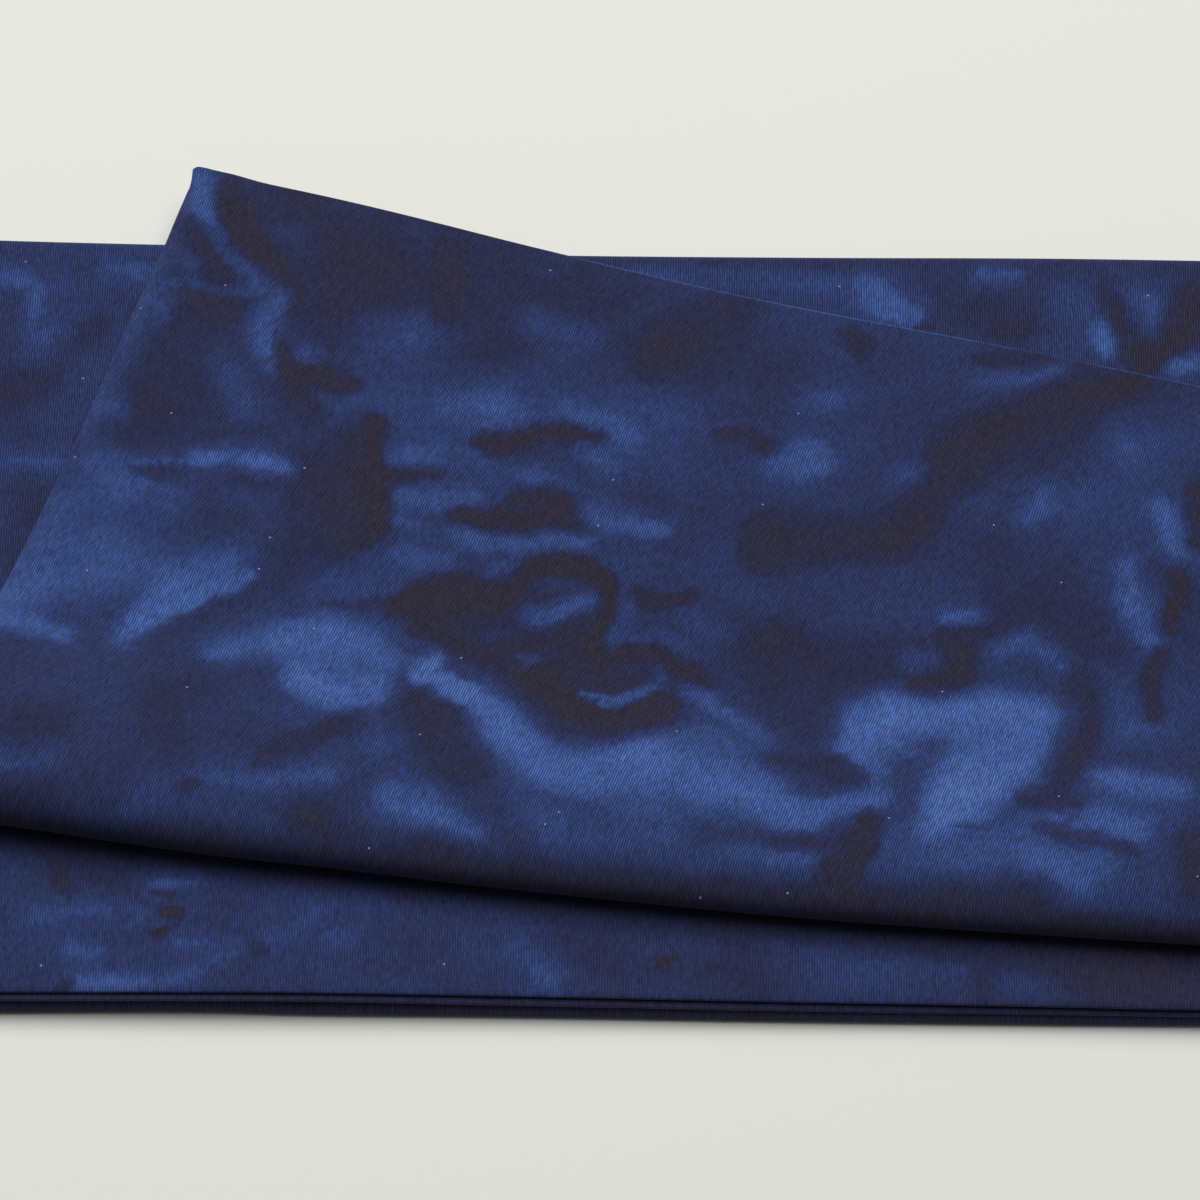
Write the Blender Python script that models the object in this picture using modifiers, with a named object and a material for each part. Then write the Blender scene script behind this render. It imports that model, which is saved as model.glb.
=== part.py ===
# Batik cloth: one cut of indigo cotton, doubled end to end, folded back and forth into a flat
# strip, with its last leaf, the flap, turned back askew over it. X runs along the strip and Y from
# its near edge to its far edge. The tables are in millimetres, and the mesh is in metres.

import math
from collections import namedtuple

import bmesh
import bpy
from mathutils import Vector

MM = 0.001

# The cut is doubled before it is folded, so one leaf is two plies and the air between them.
CUT_LENGTH = 500.0
STRIP_LENGTH = CUT_LENGTH / 2
LEAF_THICKNESS = 1.0

# The strip's left end, and the shift that puts the origin under the middle of the whole cloth.
STRIP_LEFT = -96.5
ORIGIN_X = 40.78
ORIGIN_Y = 1.51

# One row for each section across the strip. along is the distance from the left end. strip_edge is
# the y of the near edge of the top leaf of the strip, near_fold of the fold under it, inner_fold
# of the fold that is wrapped inside the far edge, and far_fold of the fold that wraps round it.
# pitch is the rise from one leaf to the next. roll_y is the near side of the loose roll in which
# the flap turns back, and roll_radius is the roll's outer radius. flap_x and flap_y are the point
# that the flap's far edge reaches there.
Section = namedtuple(
    "Section",
    "along strip_edge near_fold inner_fold far_fold pitch roll_y roll_radius flap_x flap_y")
SECTIONS = [
    Section(0.0, -80.3, -80.6, 67.0, 70.0, 1.42, -49.2, 4.7, -61.5, 83.6),
    Section(16.0, -80.1, -80.4, 67.3, 69.6, 1.44, -51.9, 4.4, -46.2, 78.5),
    Section(43.0, -79.8, -80.0, 66.2, 68.8, 1.60, -56.5, 3.4, -20.3, 69.5),
    Section(60.0, -79.6, -79.9, 65.6, 68.4, 1.62, -58.6, 3.1, -4.0, 64.1),
    Section(84.0, -79.4, -79.8, 65.7, 68.1, 1.50, -61.6, 3.1, 19.0, 57.2),
    Section(125.0, -79.3, -79.7, 66.4, 68.7, 1.36, -65.8, 3.0, 58.3, 46.8),
    Section(165.0, -79.1, -79.6, 66.9, 69.4, 1.31, -68.6, 3.0, 96.6, 36.3),
    Section(210.0, -79.3, -79.8, 66.5, 69.1, 1.31, -71.6, 3.1, 139.7, 24.5),
    Section(250.0, -79.6, -80.1, 65.8, 68.4, 1.34, -74.3, 3.2, 178.0, 14.1),
]

# The roll lies askew to the strip, so a thread that goes round it also moves along it.
ROLL_SKEW = math.radians(7.8)
# Behind the roll the flap comes down to its rest over this much of its depth.
ROLL_RUN_OUT = 42.0
# Past the strip's right end the flap bends down towards the table.
BEND_START = 156.0
BEND_LENGTH = 22.0
BEND_DROP = 3.6
# The flap's corner that reaches past the strip's far edge dips a little.
CORNER_REACH = 16.0
CORNER_DIP = 0.7
# A slow wave, askew to the strip, keeps the flap from lying dead flat.
WAVE_HEIGHT = 0.16
WAVE_LENGTH = 74.0
WAVE_LEAN = 0.6

# How finely each stretch is cut.
COLUMNS = 30
LEAF_ROWS = 3
UNDER_ROWS = 6
FLAP_ROWS = 15
FOLD_STEPS = 8
ROLL_STEPS = 10
# The flap's rows lie closer together near the roll than near its far edge.
FLAP_CROWDING = 1.25


def smooth(t):
    """Ease from 0 to 1, level at both ends."""
    t = min(max(t, 0.0), 1.0)
    return t * t * (3.0 - 2.0 * t)


def section_at(along):
    """Read the section table at any distance along the strip, on smooth curves."""
    last = len(SECTIONS) - 1
    i = 0
    while i < last - 1 and along > SECTIONS[i + 1].along:
        i += 1
    before = SECTIONS[max(i - 1, 0)]
    start = SECTIONS[i]
    end = SECTIONS[i + 1]
    after = SECTIONS[min(i + 2, last)]
    span = end.along - start.along
    t = (along - start.along) / span
    values = []
    for a, b, c, d in zip(before, start, end, after):
        slope_start = (c - a) / (end.along - before.along) * span
        slope_end = (d - b) / (after.along - start.along) * span
        bend_in = b + (t * t * (3.0 - 2.0 * t)) * (c - b)
        lean = t * (1.0 - t) * ((1.0 - t) * slope_start - t * slope_end)
        values.append(bend_in + lean)
    return Section(*values)


def leaf_run(x, y_from, y_to, z, rows):
    """The points of one flat leaf, without its last one."""
    return [Vector((x, y_from + (y_to - y_from) * i / rows, z)) for i in range(rows)]


def turn_centre(y_edge, radius, outwards):
    """The y at which a fold starts to turn, so that its outside reaches the edge."""
    return y_edge - outwards * (radius + LEAF_THICKNESS / 2)


def fold_turn(x, y_centre, z_from, z_to, outwards):
    """The half circle of a fold, from one leaf to the next, without its last point."""
    radius = abs(z_to - z_from) / 2
    points = []
    for i in range(FOLD_STEPS):
        angle = math.pi * i / FOLD_STEPS
        y = y_centre + outwards * radius * math.sin(angle)
        z = z_from + (z_to - z_from) * (1.0 - math.cos(angle)) / 2
        points.append(Vector((x, y, z)))
    return points


def flap_height(x, y, pitch, far_fold):
    """The middle of the flap where it has come to rest on the leaf under it."""
    rest = LEAF_THICKNESS / 2 + 4.0 * pitch
    wave = WAVE_HEIGHT * (1.0 + math.sin(2.0 * math.pi * (x + WAVE_LEAN * y) / WAVE_LENGTH))
    bend = BEND_DROP * smooth((x - BEND_START) / BEND_LENGTH)
    dip = CORNER_DIP * smooth((y - far_fold) / CORNER_REACH)
    return rest + wave - bend - dip


def section_points(along):
    """The middle of the cloth across one section, from the strip's near edge to the flap's far edge."""
    cut = section_at(along)
    x = STRIP_LEFT + along
    z0 = LEAF_THICKNESS / 2
    z1 = z0 + cut.pitch
    z2 = z1 + cut.pitch
    z3 = z2 + cut.pitch
    inner_turn = turn_centre(cut.inner_fold, cut.pitch / 2, 1)
    near_turn = turn_centre(cut.near_fold, cut.pitch / 2, -1)
    far_turn = turn_centre(cut.far_fold, cut.pitch * 3 / 2, 1)

    # The strip's top leaf, the one under it and the bottom one, then the fold round their far side.
    points = leaf_run(x, cut.strip_edge, inner_turn, z2, LEAF_ROWS)
    points += fold_turn(x, inner_turn, z2, z1, 1)
    points += leaf_run(x, inner_turn, near_turn, z1, LEAF_ROWS)
    points += fold_turn(x, near_turn, z1, z0, -1)
    points += leaf_run(x, near_turn, far_turn, z0, LEAF_ROWS)
    points += fold_turn(x, far_turn, z0, z3, 1)

    # The leaf under the flap runs to where the roll lifts off it.
    radius = cut.roll_radius - LEAF_THICKNESS / 2
    roll_start = Vector((x, cut.roll_y + cut.roll_radius, z3))
    points += leaf_run(x, far_turn, roll_start.y, z3, UNDER_ROWS)

    # The roll: a half turn about a line that lies askew, so it ends a little further along.
    towards_near = Vector((-math.sin(ROLL_SKEW), -math.cos(ROLL_SKEW), 0.0))
    along_roll = Vector((math.cos(ROLL_SKEW), -math.sin(ROLL_SKEW), 0.0))
    for i in range(ROLL_STEPS):
        angle = math.pi * i / ROLL_STEPS
        shift = along_roll * (radius * angle * math.tan(ROLL_SKEW))
        out = towards_near * (radius * math.sin(angle))
        up = Vector((0.0, 0.0, radius * (1.0 - math.cos(angle))))
        points.append(roll_start + shift + out + up)

    # The flap: straight threads from the roll's top to the far edge.
    flap_start = roll_start + along_roll * (radius * math.pi * math.tan(ROLL_SKEW))
    flap_end = Vector((cut.flap_x, cut.flap_y, z3))
    depth = (flap_end - flap_start).length
    for i in range(FLAP_ROWS + 1):
        t = (i / FLAP_ROWS) ** FLAP_CROWDING
        spot = flap_start.lerp(flap_end, t)
        here = section_at(min(max(spot.x - STRIP_LEFT, 0.0), STRIP_LENGTH))
        rest = flap_height(spot.x, spot.y, here.pitch, here.far_fold)
        crown = z3 + 2.0 * radius
        settled = smooth(t * depth / ROLL_RUN_OUT)
        spot.z = crown + (rest - crown) * settled
        points.append(spot)
    return points


def cotton_material():
    """Indigo cotton in plain weave, dyed by hand: matt, with no shine of its own."""
    cotton = bpy.data.materials.new("indigo_cotton")
    cotton.use_nodes = True
    shader = cotton.node_tree.nodes["Principled BSDF"]
    shader.inputs["Base Color"].default_value = (0.019, 0.036, 0.117, 1.0)
    shader.inputs["Roughness"].default_value = 0.88
    shader.inputs["Metallic"].default_value = 0.0
    return cotton


def build_cloth(collection):
    """Loft the cloth through its sections and give it the thickness of a leaf."""
    origin = Vector((ORIGIN_X, ORIGIN_Y, 0.0))
    mesh_builder = bmesh.new()
    columns = []
    for i in range(COLUMNS + 1):
        points = section_points(STRIP_LENGTH * i / COLUMNS)
        columns.append([mesh_builder.verts.new((p - origin) * MM) for p in points])
    for left, right in zip(columns, columns[1:]):
        for j in range(len(left) - 1):
            mesh_builder.faces.new((left[j], right[j], right[j + 1], left[j + 1]))
    bmesh.ops.recalc_face_normals(mesh_builder, faces=mesh_builder.faces)

    mesh = bpy.data.meshes.new("batik_cloth")
    mesh_builder.to_mesh(mesh)
    mesh_builder.free()
    mesh.materials.append(cotton_material())
    mesh.shade_smooth()
    cloth = bpy.data.objects.new("batik_cloth", mesh)
    collection.objects.link(cloth)

    leaf = cloth.modifiers.new("leaf thickness", "SOLIDIFY")
    leaf.thickness = LEAF_THICKNESS * MM
    leaf.offset = 0.0
    leaf.use_even_offset = True
    return cloth


def main():
    for old in list(bpy.data.objects):
        bpy.data.objects.remove(old, do_unlink=True)
    collection = bpy.data.collections.new("batik_cloth")
    bpy.context.scene.collection.children.link(collection)
    build_cloth(collection)


main()
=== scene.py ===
import math
from collections import namedtuple

import bpy
import numpy as np
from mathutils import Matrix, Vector, noise


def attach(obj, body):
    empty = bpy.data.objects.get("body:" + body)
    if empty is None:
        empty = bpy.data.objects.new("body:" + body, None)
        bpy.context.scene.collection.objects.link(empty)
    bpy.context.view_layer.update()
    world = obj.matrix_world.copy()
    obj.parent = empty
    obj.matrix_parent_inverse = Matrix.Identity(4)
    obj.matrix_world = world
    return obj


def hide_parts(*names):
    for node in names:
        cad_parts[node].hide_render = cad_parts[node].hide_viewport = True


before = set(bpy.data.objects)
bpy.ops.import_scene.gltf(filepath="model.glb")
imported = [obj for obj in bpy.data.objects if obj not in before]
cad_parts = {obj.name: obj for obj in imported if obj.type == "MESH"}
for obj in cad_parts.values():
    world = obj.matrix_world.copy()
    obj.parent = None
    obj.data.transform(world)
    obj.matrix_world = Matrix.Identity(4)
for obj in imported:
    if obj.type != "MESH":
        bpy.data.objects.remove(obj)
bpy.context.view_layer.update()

# Tables and sizes are in millimetres on the table under the cloth. The meshes are in metres, and
# their origin is this point of the table.
MM = 0.001
TABLE_ORIGIN = (40.78, 1.51, 0.0)

# Camera: a long lens in front of the cloth, 45 degrees above the table. The picture is square.
LENS_MM = 210.0
SENSOR_MM = 36.0
PICTURE_SIDE = 1200
CAMERA_RISE = math.radians(45.0)
CAMERA_TURN = math.radians(1.2)
CAMERA_DISTANCE = 991.94
FOCAL_PIXELS = LENS_MM / SENSOR_MM * PICTURE_SIDE
PIXELS_PER_MM = FOCAL_PIXELS / CAMERA_DISTANCE
CAMERA_CLIP_M = (0.05, 20.0)

# The cut and its leaves, as in the solid that this cloth replaces. A ply is one thickness of cotton.
CUT_LENGTH = 500.0
STRIP_LENGTH = CUT_LENGTH / 2
STRIP_LEFT = -96.5
LEAF_THICKNESS = 1.0
CLOTH_THICKNESS = 0.27
PLY_GAP = LEAF_THICKNESS - CLOTH_THICKNESS

# One row for each section across the strip. along is the distance from the left end. strip_edge is
# the near edge of the strip's top leaf, near_fold the fold under it, inner_fold the fold wrapped
# inside the far edge, and far_fold the fold that wraps round it. pitch is the rise from leaf to
# leaf. roll_y and roll_radius are the near side and the outer radius of the loose roll in which the
# flap turns back, and flap_x and flap_y the point that the flap's far edge reaches. The rows are the
# solid's, but near_fold and flap_y are moved by about a millimetre at most, to where the cloth's
# own edges lie.
Section = namedtuple(
    "Section",
    "along strip_edge near_fold inner_fold far_fold pitch roll_y roll_radius flap_x flap_y")
SECTIONS = [
    Section(0.0, -80.3, -80.6, 67.0, 70.0, 1.42, -49.2, 4.7, -61.5, 83.2),
    Section(16.0, -80.1, -80.3, 67.3, 69.6, 1.44, -51.9, 4.4, -46.2, 78.0),
    Section(43.0, -79.8, -79.65, 66.2, 68.8, 1.60, -56.5, 3.4, -20.3, 69.15),
    Section(60.0, -79.6, -79.8, 65.6, 68.4, 1.62, -58.6, 3.1, -4.0, 64.0),
    Section(84.0, -79.4, -79.6, 65.7, 68.1, 1.50, -61.6, 3.1, 19.0, 57.2),
    Section(125.0, -79.3, -79.6, 66.4, 68.7, 1.36, -65.8, 3.0, 58.3, 46.8),
    Section(165.0, -79.1, -79.4, 66.9, 69.4, 1.31, -68.6, 3.0, 96.6, 36.3),
    Section(210.0, -79.3, -78.95, 66.5, 69.1, 1.31, -71.6, 3.1, 139.7, 24.5),
    Section(250.0, -79.6, -79.0, 65.8, 68.4, 1.34, -74.3, 3.2, 178.0, 14.1),
]

# The roll lies askew to the strip, and behind it the flap comes down over this much of its depth.
ROLL_SKEW = math.radians(7.8)
ROLL_RUN_OUT = 42.0
# The roll isn't quite round: its upper quarter slopes back by this much more.
ROLL_SLOPE = 3.4
# Past the strip's right end the flap bends down towards the table.
BEND_START = 156.0
BEND_LENGTH = 22.0
BEND_DROP = 3.6
# The flap's corner that reaches past the strip's far edge dips a little.
CORNER_REACH = 16.0
CORNER_DIP = 0.7
# A slow wave, askew to the strip, keeps the flap from lying dead flat.
WAVE_HEIGHT = 0.16
WAVE_LENGTH = 74.0
WAVE_LEAN = 0.6

# The doubled end of the cut is a soft round edge: this far in, the two plies lie flat again.
NOSE_LENGTH = 2.4
NOSE_STEPS = 7
# Columns lie this far apart on each ply where the picture shows it, and wider apart further right.
UPPER_STEP = 1.5
LOWER_STEP = 2.5
SHOWN_LENGTH = 184.0
WIDE_STEP = 6.0


def smooth(t):
    """Ease from 0 to 1, level at both ends."""
    t = np.clip(t, 0.0, 1.0)
    return t * t * (3.0 - 2.0 * t)


def section_at(along):
    """Read the section table at any distance along the strip, on smooth curves."""
    last = len(SECTIONS) - 1
    i = 0
    while i < last - 1 and along > SECTIONS[i + 1].along:
        i += 1
    before = SECTIONS[max(i - 1, 0)]
    start = SECTIONS[i]
    end = SECTIONS[i + 1]
    after = SECTIONS[min(i + 2, last)]
    span = end.along - start.along
    t = (along - start.along) / span
    values = []
    for a, b, c, d in zip(before, start, end, after):
        slope_start = (c - a) / (end.along - before.along) * span
        slope_end = (d - b) / (after.along - start.along) * span
        bend_in = b + (t * t * (3.0 - 2.0 * t)) * (c - b)
        lean = t * (1.0 - t) * ((1.0 - t) * slope_start - t * slope_end)
        values.append(bend_in + lean)
    return Section(*values)


def leaf_run(x, y_from, y_to, z, places):
    """Points of one flat leaf, at these shares of the way across it."""
    return [(x, y_from + (y_to - y_from) * t, z) for t in places]


def fold_turn(x, y_centre, z_from, z_to, outwards, steps, fullness=(1.0, 1.0)):
    """The half circle of a fold, from one leaf to the next, without its last point.

    fullness bends its two quarters: under 1 for a fuller one, over 1 for a flatter one.
    """
    radius = abs(z_to - z_from) / 2
    points = []
    for i in range(steps):
        angle = math.pi * i / steps
        bulge = math.sin(angle) ** fullness[angle > math.pi / 2]
        y = y_centre + outwards * radius * bulge
        z = z_from + (z_to - z_from) * (1.0 - math.cos(angle)) / 2
        points.append((x, y, z))
    return points


def turn_centre(y_edge, radius, outwards):
    """The y at which a fold starts to turn, so that its outside reaches the edge."""
    return y_edge - outwards * (radius + LEAF_THICKNESS / 2)


def flap_height(x, y, pitch, far_fold):
    """The middle of the flap where it has come to rest on the leaf under it."""
    rest = LEAF_THICKNESS / 2 + 4.0 * pitch
    wave = WAVE_HEIGHT * (1.0 + math.sin(2.0 * math.pi * (x + WAVE_LEAN * y) / WAVE_LENGTH))
    bend = BEND_DROP * smooth((x - BEND_START) / BEND_LENGTH)
    dip = CORNER_DIP * smooth((y - far_fold) / CORNER_REACH)
    return rest + wave - bend - dip


def even(count, first=0.0, last=1.0):
    """Even shares from first up to, but not including, last."""
    return [first + (last - first) * i / count for i in range(count)]


# The shares of the way across each leaf at which it has a row of points, close where it shows.
STRIP_ROWS = even(8, 0.0, 0.016) + even(18, 0.016, 0.24) + even(4, 0.24, 1.0)
MIDDLE_ROWS = even(4)
BOTTOM_ROWS = even(4)
UNDER_ROWS = even(34, 0.0, 0.62) + even(6, 0.62, 1.0)
FLAP_ROWS = even(80, 0.0, 0.997) + [0.997, 1.0]
SMALL_FOLD_STEPS = 6
NEAR_FOLD_STEPS = 12
# The near fold is pressed on the table: its lower quarter is full and its upper one flat.
NEAR_FULLNESS = (1.5, 0.6)
FAR_FOLD_STEPS = 14
ROLL_STEPS = 22


def section_parts(along):
    """The middle of the cloth across one section, part by part, from the strip's near edge on."""
    cut = section_at(along)
    x = STRIP_LEFT + along
    z0 = LEAF_THICKNESS / 2
    z1 = z0 + cut.pitch
    z2 = z1 + cut.pitch
    z3 = z2 + cut.pitch
    inner_turn = turn_centre(cut.inner_fold, cut.pitch / 2, 1)
    near_turn = turn_centre(cut.near_fold, cut.pitch / 2, -1)
    far_turn = turn_centre(cut.far_fold, cut.pitch * 3 / 2, 1)
    radius = cut.roll_radius - LEAF_THICKNESS / 2
    roll_start = np.array((x, cut.roll_y + cut.roll_radius, z3))

    parts = {
        "strip": leaf_run(x, cut.strip_edge, inner_turn, z2, STRIP_ROWS),
        "inner fold": fold_turn(x, inner_turn, z2, z1, 1, SMALL_FOLD_STEPS),
        "middle": leaf_run(x, inner_turn, near_turn, z1, MIDDLE_ROWS),
        "near fold": fold_turn(x, near_turn, z1, z0, -1, NEAR_FOLD_STEPS, NEAR_FULLNESS),
        "bottom": leaf_run(x, near_turn, far_turn, z0, BOTTOM_ROWS),
        "far fold": fold_turn(x, far_turn, z0, z3, 1, FAR_FOLD_STEPS),
        "under": leaf_run(x, far_turn, roll_start[1], z3, UNDER_ROWS),
    }

    # The roll: a half turn about a line that lies askew, so it ends a little further along.
    towards_near = np.array((-math.sin(ROLL_SKEW), -math.cos(ROLL_SKEW), 0.0))
    along_roll = np.array((math.cos(ROLL_SKEW), -math.sin(ROLL_SKEW), 0.0))
    upwards = np.array((0.0, 0.0, 1.0))
    roll = []
    for share in even(ROLL_STEPS):
        angle = math.pi * share
        shift = along_roll * (radius * angle * math.tan(ROLL_SKEW))
        back = ROLL_SLOPE * (1.0 - math.sin(angle)) if angle > math.pi / 2 else 0.0
        out = towards_near * (radius * math.sin(angle) - back)
        up = upwards * (radius * (1.0 - math.cos(angle)))
        roll.append(tuple(roll_start + shift + out + up))
    parts["roll"] = roll

    # The flap: straight threads from the roll's top to the far edge.
    flap_start = roll_start + along_roll * (radius * math.pi * math.tan(ROLL_SKEW))
    flap_start = flap_start - towards_near * ROLL_SLOPE
    flap_end = np.array((cut.flap_x, cut.flap_y, z3))
    depth = np.linalg.norm(flap_end - flap_start)
    crown = z3 + 2.0 * radius
    flap = []
    for t in FLAP_ROWS:
        spot = flap_start + (flap_end - flap_start) * t
        here = section_at(min(max(spot[0] - STRIP_LEFT, 0.0), STRIP_LENGTH))
        rest = flap_height(spot[0], spot[1], here.pitch, here.far_fold)
        settled = smooth(t * depth / ROLL_RUN_OUT)
        flap.append((spot[0], spot[1], crown + (rest - crown) * settled))
    parts["flap"] = flap
    return parts


def column_places(step):
    """Distances from the doubled end, and how far out from the middle of the leaf: 0 to 1."""
    angles = [math.pi / 2 * i / NOSE_STEPS for i in range(NOSE_STEPS + 1)]
    places = [(NOSE_LENGTH * (1.0 - math.cos(a)), math.sin(a)) for a in angles]
    shown = round((SHOWN_LENGTH - NOSE_LENGTH) / step)
    step = (SHOWN_LENGTH - NOSE_LENGTH) / shown
    places += [(NOSE_LENGTH + step * (i + 1), 1.0) for i in range(shown)]
    wide = round((STRIP_LENGTH - SHOWN_LENGTH) / WIDE_STEP)
    step = (STRIP_LENGTH - SHOWN_LENGTH) / wide
    places += [(SHOWN_LENGTH + step * (i + 1), 1.0) for i in range(wide)]
    return places


# Creases and soft swells of the flap: how high they stand (under 0 for a trough), half their
# width, and where they run.
Crease = namedtuple("Crease", "height reach points")
CREASES = [
    Crease(-0.30, 2.6, [(-76.0, 26.2), (-68.0, 23.4), (-58.0, 23.6), (-50.0, 25.0)]),
    Crease(0.34, 2.6, [(-72.0, 20.6), (-60.0, 20.8), (-52.0, 22.0), (-44.0, 21.6)]),
    Crease(-0.22, 1.9, [(-60.5, 18.0), (-53.0, 18.6), (-44.0, 17.6)]),
    Crease(-0.40, 2.2, [(-69.0, 57.6), (-64.0, 56.0), (-57.0, 57.2)]),
    Crease(0.30, 2.2, [(-66.5, 60.4), (-60.0, 60.0), (-53.0, 59.0)]),
    Crease(0.24, 2.0, [(-70.5, 53.0), (-66.0, 53.4), (-62.0, 52.0)]),
    Crease(0.26, 3.0, [(-66.5, 68.5), (-61.5, 72.5), (-57.0, 77.5)]),
    Crease(0.22, 4.5, [(-57.0, 80.0), (-52.0, 70.0), (-46.0, 62.0), (-45.0, 52.0)]),
    Crease(-0.20, 1.8, [(47.5, -48.9), (55.0, -48.3)]),
    Crease(0.16, 1.8, [(57.0, -46.2), (64.0, -48.0), (70.0, -49.6)]),
    Crease(-0.20, 2.0, [(57.5, -48.6), (64.0, -50.2), (73.0, -52.4)]),
    Crease(0.12, 1.7, [(-15.5, -19.2), (-7.0, -18.2), (0.5, -16.4)]),
    Crease(0.22, 7.0, [(-80.0, -12.0), (-50.0, 2.0), (-20.0, 8.0)]),
    Crease(-0.22, 8.0, [(-82.0, -22.0), (-52.0, -10.0), (-22.0, -2.0)]),
    Crease(0.20, 8.0, [(10.0, -36.0), (34.0, -42.0), (60.0, -40.0)]),
    Crease(-0.20, 7.0, [(-20.0, -34.0), (6.0, -47.0), (30.0, -54.0)]),
]
# The strip's near edge: the upper ply ends a little further in, and the end of the lower one hangs
# down a little. The tables give how far, from the left end on.
EDGE_INSETS = [(0.0, 0.8), (95.0, 0.75), (140.0, 0.6), (170.0, 0.3), (210.0, 0.4)]
EDGE_EASE = 4.0
EDGE_DROOP = 0.22
EDGE_DROOP_LENGTH = 0.8
LIP_LENGTH = 2.2
LIP_REACH = 0.15
LIP_DROPS = [(0.0, 0.0), (60.0, 0.1), (95.0, 0.3), (140.0, 0.4), (250.0, 0.35)]
# Beside the doubled end the upper ply of the flap stands a little higher, and it rises to that over
# this share of its way across.
SWELL_HEIGHT = 0.45
SWELL_LENGTH = 10.0
SWELL_RISE = 0.25
# The doubled end of the flap isn't quite straight: from the roll to the far edge it lies this much
# further along, and that eases out over this much of the cut.
END_SHIFTS = [(-44.0, 0.0), (-10.0, 1.1), (20.0, 1.35), (30.0, 1.2), (50.0, 0.5), (66.0, 0.4),
              (72.0, 0.05), (79.0, -0.35)]
END_EASE = 20.0
# Its far corner is drawn out this way over its last few millimetres. It is cut off at a slant that
# starts this far from it, where its points are pulled in this way.
TIP_LENGTH = 3.2
TIP_WAY = (-0.8, 1.0)
BLUNT_LENGTH = 0.7
BLUNT_WAY = (0.67, -1.24)


def nearness(points, line):
    """How near each point is to a line on the table: 1 on it, down to 0 at its reach."""
    least = np.full(points.shape[:-1], np.inf)
    for start, end in zip(line.points, line.points[1:]):
        start = np.array(start)
        way = np.array(end) - start
        share = np.clip((points[..., :2] - start) @ way / (way @ way), 0.0, 1.0)
        spot = start + share[..., None] * way
        least = np.minimum(least, np.linalg.norm(points[..., :2] - spot, axis=-1))
    return smooth(1.0 - least / line.reach)


class Ply:
    """One ply of the doubled cut, from the doubled end on."""

    def __init__(self, step, side):
        places = column_places(step)
        sections = [section_parts(u) for u, w in places]
        self.rows = {}
        count = 0
        for name, points in sections[0].items():
            self.rows[name] = slice(count, count + len(points))
            count += len(points)
        middle = np.array([[p for part in parts.values() for p in part] for parts in sections])

        # The way out of the leaf, from its two directions along and across.
        out = np.cross(np.gradient(middle, axis=0), np.gradient(middle, axis=1))
        out /= np.linalg.norm(out, axis=2, keepdims=True)
        reach = np.array([(u, PLY_GAP / 2 * w) for u, w in places])
        self.points = middle + side * out * reach[:, 1, None, None]

        # Distances along the cut, and across it on the middle section, so that threads are straight.
        self.s = side * np.append(0.0, np.cumsum(np.linalg.norm(np.diff(reach, axis=0), axis=1)))
        steps = np.linalg.norm(np.diff(middle[len(places) // 2], axis=0), axis=1)
        self.v = np.append(0.0, np.cumsum(steps))
        self.shape_end(reach[:, :1])
        if side > 0:
            self.shape_upper(reach[:, 0])
        else:
            self.shape_lower(reach[:, 0])

    def shape_end(self, along):
        """The flap's doubled end, which isn't quite straight, and its far corner."""
        flap = self.points[:, self.rows["flap"]]
        shift = np.interp(flap[..., 1], *zip(*END_SHIFTS))
        flap[..., 0] += shift * (1.0 - smooth(along / END_EASE))
        to_corner = np.linalg.norm(flap[..., :2] - flap[:, -1:, :2], axis=-1)
        tip = smooth(1.0 - np.hypot(to_corner, along) / TIP_LENGTH)
        cut = np.clip(BLUNT_LENGTH - to_corner - along, 0.0, None) / 2
        flap[..., :2] += tip[..., None] * TIP_WAY + cut[..., None] * BLUNT_WAY

    def shape_upper(self, along):
        """The upper ply's creases, its swell beside the doubled end, and its near edge."""
        flap = self.points[:, self.rows["flap"]]
        out = smooth(along / NOSE_LENGTH)[:, None]
        for crease in CREASES:
            flap[..., 2] += crease.height * out * nearness(flap, crease)
        swell = out * (1.0 - smooth((along[:, None] - NOSE_LENGTH) / SWELL_LENGTH))
        flap[..., 2] += SWELL_HEIGHT * swell * smooth(np.array(FLAP_ROWS) / SWELL_RISE)
        strip = self.points[:, self.rows["strip"]]
        to_edge = strip[..., 1] - strip[:, :1, 1]
        inset = np.interp(along, *zip(*EDGE_INSETS))[:, None]
        strip[..., 1] += inset * out * (1.0 - smooth(to_edge / EDGE_EASE))
        strip[..., 2] -= EDGE_DROOP * out * (1.0 - smooth(to_edge / EDGE_DROOP_LENGTH))

    def shape_lower(self, along):
        """The lower ply's end, which hangs down at the strip's near edge."""
        out = smooth(along / NOSE_LENGTH)[:, None]
        drop = out * np.interp(along, *zip(*LIP_DROPS))[:, None]
        strip = self.points[:, self.rows["strip"]]
        to_edge = strip[..., 1] - strip[:, :1, 1]
        bend = np.clip(1.0 - to_edge / LIP_LENGTH, 0.0, 1.0)
        strip[..., 1] -= LIP_REACH * out * np.sin(math.pi / 2 * bend)
        strip[..., 2] -= drop * bend ** 2


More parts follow.
